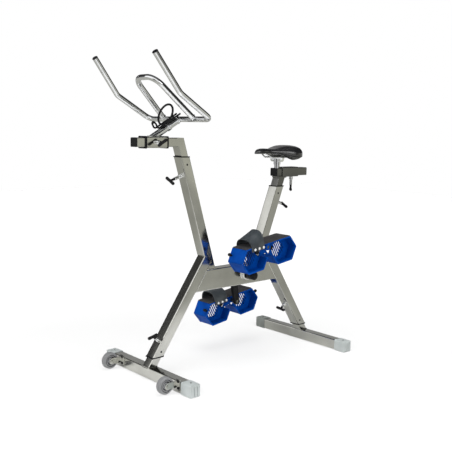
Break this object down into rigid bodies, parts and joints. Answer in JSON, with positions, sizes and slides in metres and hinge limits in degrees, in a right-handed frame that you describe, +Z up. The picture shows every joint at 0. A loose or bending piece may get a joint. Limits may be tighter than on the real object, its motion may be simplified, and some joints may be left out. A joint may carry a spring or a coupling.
{
  "type": "aqua bike",
  "caption": "Underwater exercise bike of welded rectangular tube: base bars, sliding handlebar and saddle, cranks, and pedals with hollow scoops and foot straps.",
  "frame": {"origin": "middle of the bounding box, on the floor", "axes": "+X forward toward the handlebar, +Y to the rider's left, +Z up"},
  "size_m": [1.0596, 0.58, 1.2708],
  "materials": {
    "satin_steel": "satin",
    "bright_steel": "polished",
    "black_plastic": "matte",
    "blue_plastic": "satin",
    "grey_tread": "matte",
    "strap_rubber": "satin",
    "cap_plastic": "matte",
    "wheel_rubber": "matte",
    "saddle_cover": "gloss"
  },
  "bodies": {
    "frame": {"front_column": "satin_steel", "front_leg": "satin_steel", "main_beam": "satin_steel", "seat_column": "satin_steel", "rear_leg": "satin_steel", "bottom_bracket_shell": "bright_steel", "bottom_bracket_cartridge": "bright_steel", "front_column_bushing": "black_plastic", "seat_column_bushing": "black_plastic", "front_leg_bushing": "black_plastic", "rear_leg_bushing": "black_plastic", "front_column_plunger_housing": "bright_steel", "seat_column_plunger_housing": "bright_steel", "front_leg_plunger_housing": "bright_steel", "rear_leg_plunger_housing": "bright_steel"},
    "front_base": {"front_base_bar": "satin_steel", "front_left_end_cap": "cap_plastic", "front_right_end_cap": "cap_plastic", "left_wheel_bracket": "satin_steel", "right_wheel_bracket": "satin_steel"},
    "left_wheel": {"left_transport_wheel": "wheel_rubber"},
    "right_wheel": {"right_transport_wheel": "wheel_rubber"},
    "rear_base": {"rear_base_bar": "satin_steel", "rear_left_end_cap": "cap_plastic", "rear_right_end_cap": "cap_plastic"},
    "handlebar_mast": {"handlebar_post": "satin_steel", "handlebar_post_plug": "black_plastic"},
    "handlebar_assembly": {"handlebar_carriage": "satin_steel", "carriage_front_bushing": "black_plastic", "carriage_rear_bushing": "black_plastic", "handlebar": "bright_steel", "handlebar_loop": "bright_steel", "bottle_cage": "black_plastic", "carriage_plunger_housing": "bright_steel"},
    "seat_mast": {"seat_post": "satin_steel", "seat_sleeve_plunger_housing": "bright_steel"},
    "saddle_carriage": {"saddle_slide_bar": "satin_steel", "slide_bar_front_plug": "black_plastic", "slide_bar_rear_plug": "black_plastic", "saddle_clamp": "black_plastic"},
    "saddle_top": {"saddle_clamp_jaws": "bright_steel", "saddle_rails": "bright_steel", "saddle": "saddle_cover"},
    "crankset": {"crank_axle": "bright_steel", "left_crank": "black_plastic", "right_crank": "black_plastic", "left_pedal_spindle": "bright_steel", "right_pedal_spindle": "bright_steel"},
    "left_pedal": {"left_pedal_body": "blue_plastic", "left_foot_plate": "grey_tread", "left_pedal_strap": "strap_rubber"},
    "right_pedal": {"right_pedal_body": "blue_plastic", "right_foot_plate": "grey_tread", "right_pedal_strap": "strap_rubber"},
    "front_column_pin": {"front_column_plunger": "black_plastic"},
    "seat_column_pin": {"seat_column_plunger": "black_plastic"},
    "front_leg_pin": {"front_leg_plunger": "black_plastic"},
    "rear_leg_pin": {"rear_leg_plunger": "black_plastic"},
    "carriage_pin": {"carriage_plunger": "black_plastic"},
    "seat_sleeve_pin": {"seat_sleeve_plunger": "black_plastic"}
  },
  "joints": [
    {"name": "front_base_slide", "type": "slide", "parent": "frame", "child": "front_base", "axis": [0.5635, 0, -0.8261], "range_m": [-0.02, 0.15]},
    {"name": "rear_base_slide", "type": "slide", "parent": "frame", "child": "rear_base", "axis": [-0.5446, 0, -0.8387], "range_m": [-0.02, 0.15]},
    {"name": "handlebar_post_slide", "type": "slide", "parent": "frame", "child": "handlebar_mast", "axis": [0.299, 0, 0.9542], "range_m": [-0.025, 0.2]},
    {"name": "seat_post_slide", "type": "slide", "parent": "frame", "child": "seat_mast", "axis": [-0.3616, 0, 0.9323], "range_m": [-0.025, 0.2]},
    {"name": "handlebar_carriage_slide", "type": "slide", "parent": "handlebar_mast", "child": "handlebar_assembly", "axis": [1, 0, 0], "range_m": [-0.035, 0.035]},
    {"name": "saddle_slide", "type": "slide", "parent": "seat_mast", "child": "saddle_carriage", "axis": [1, 0, 0], "range_m": [0, 0.06]},
    {"name": "saddle_tilt", "type": "hinge", "parent": "saddle_carriage", "child": "saddle_top", "pos_m": [-0.30586, 0, 0.872], "axis": [0, 1, 0], "range_deg": [-15, 15]},
    {"name": "crank_spin", "type": "hinge", "parent": "frame", "child": "crankset", "pos_m": [-0.10479, 0, 0.369], "axis": [0, 1, 0], "continuous": true},
    {"name": "left_pedal_spin", "type": "hinge", "parent": "crankset", "child": "left_pedal", "pos_m": [-0.07478, 0.1455, 0.51392], "axis": [0, 1, 0], "continuous": true},
    {"name": "right_pedal_spin", "type": "hinge", "parent": "crankset", "child": "right_pedal", "pos_m": [-0.13479, -0.1455, 0.22408], "axis": [0, 1, 0], "continuous": true},
    {"name": "left_wheel_spin", "type": "hinge", "parent": "front_base", "child": "left_wheel", "pos_m": [0.46321, 0.19, 0.037], "axis": [0, 1, 0], "continuous": true},
    {"name": "right_wheel_spin", "type": "hinge", "parent": "front_base", "child": "right_wheel", "pos_m": [0.46321, -0.19, 0.037], "axis": [0, 1, 0], "continuous": true},
    {"name": "front_column_pin_pull", "type": "slide", "parent": "frame", "child": "front_column_pin", "axis": [0.9542, 0, -0.299], "range_m": [0, 0.008], "stiffness_N_per_m": 500, "springref_m": -0.004},
    {"name": "seat_column_pin_pull", "type": "slide", "parent": "frame", "child": "seat_column_pin", "axis": [-0.9323, 0, -0.3616], "range_m": [0, 0.008], "stiffness_N_per_m": 500, "springref_m": -0.004},
    {"name": "front_leg_pin_pull", "type": "slide", "parent": "frame", "child": "front_leg_pin", "axis": [0.8261, 0, 0.5635], "range_m": [0, 0.008], "stiffness_N_per_m": 500, "springref_m": -0.004},
    {"name": "rear_leg_pin_pull", "type": "slide", "parent": "frame", "child": "rear_leg_pin", "axis": [0.8387, 0, -0.5446], "range_m": [0, 0.008], "stiffness_N_per_m": 500, "springref_m": -0.004},
    {"name": "carriage_pin_pull", "type": "slide", "parent": "handlebar_assembly", "child": "carriage_pin", "axis": [0, 1, 0], "range_m": [0, 0.008], "stiffness_N_per_m": 500, "springref_m": -0.004},
    {"name": "seat_sleeve_pin_pull", "type": "slide", "parent": "seat_mast", "child": "seat_sleeve_pin", "axis": [0, 0, -1], "range_m": [0, 0.008], "stiffness_N_per_m": 500, "springref_m": -0.004}
  ]
}
